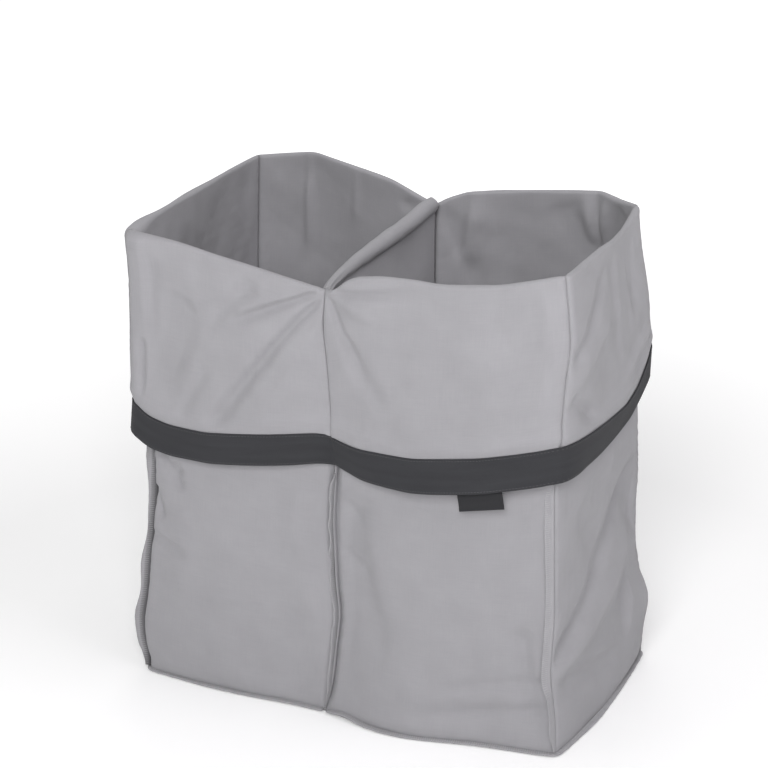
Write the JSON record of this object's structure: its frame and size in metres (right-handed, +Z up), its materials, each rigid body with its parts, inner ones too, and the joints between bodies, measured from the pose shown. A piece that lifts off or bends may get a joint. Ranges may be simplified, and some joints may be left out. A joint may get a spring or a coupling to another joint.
{
  "type": "two-compartment laundry sorter bag",
  "caption": "Upright soft fabric laundry sorter: a divided bag with a turned-down cuff, a dark webbing hem band and a small hanging label.",
  "frame": {"origin": "middle of the footprint, on the floor", "axes": "+Z up, +X to the right as seen from the front, +Y to the back"},
  "size_m": [0.5747, 0.3796, 0.6],
  "materials": {
    "grey_cotton": "matt plain-weave cotton with soft folds",
    "overlock_edge": "cut cloth edges bound with looped overlock thread",
    "cotton_filler": "soft rolled filler, hidden inside the sleeve",
    "grey_thread": "sewing thread",
    "charcoal_webbing": "matt woven webbing with fine lengthwise ribs",
    "charcoal_thread": "dark sewing thread",
    "label_ribbon": "plain folded satin ribbon with no text"
  },
  "bodies": {
    "bag": {"front_panel_left": "grey_cotton", "front_panel_right": "grey_cotton", "side_panel_right": "grey_cotton", "back_panel_right": "grey_cotton", "back_panel_left": "grey_cotton", "side_panel_left": "grey_cotton", "base_panel_left": "grey_cotton", "base_panel_right": "grey_cotton", "divider_panel": "grey_cotton", "divider_sleeve": "grey_cotton", "sleeve_core": "cotton_filler", "sleeve_stitching": "grey_thread", "sleeve_end_tacks": "grey_thread", "hem_band": "charcoal_webbing", "band_stitching": "charcoal_thread", "seam_front_left": "overlock_edge", "seam_front_centre": "overlock_edge", "seam_front_right": "overlock_edge", "seam_back_right": "overlock_edge", "seam_back_centre": "overlock_edge", "seam_back_left": "overlock_edge", "base_seam_left": "overlock_edge", "base_seam_right": "overlock_edge"},
    "label": {"label_tab": "label_ribbon"}
  },
  "joints": [
    {"name": "label_flip", "type": "hinge", "parent": "bag", "child": "label", "pos_m": [0.17862, -0.18546, 0.33936], "axis": [-0.9846, -0.0554, -0.1655], "range_deg": [-25, 100]}
  ]
}
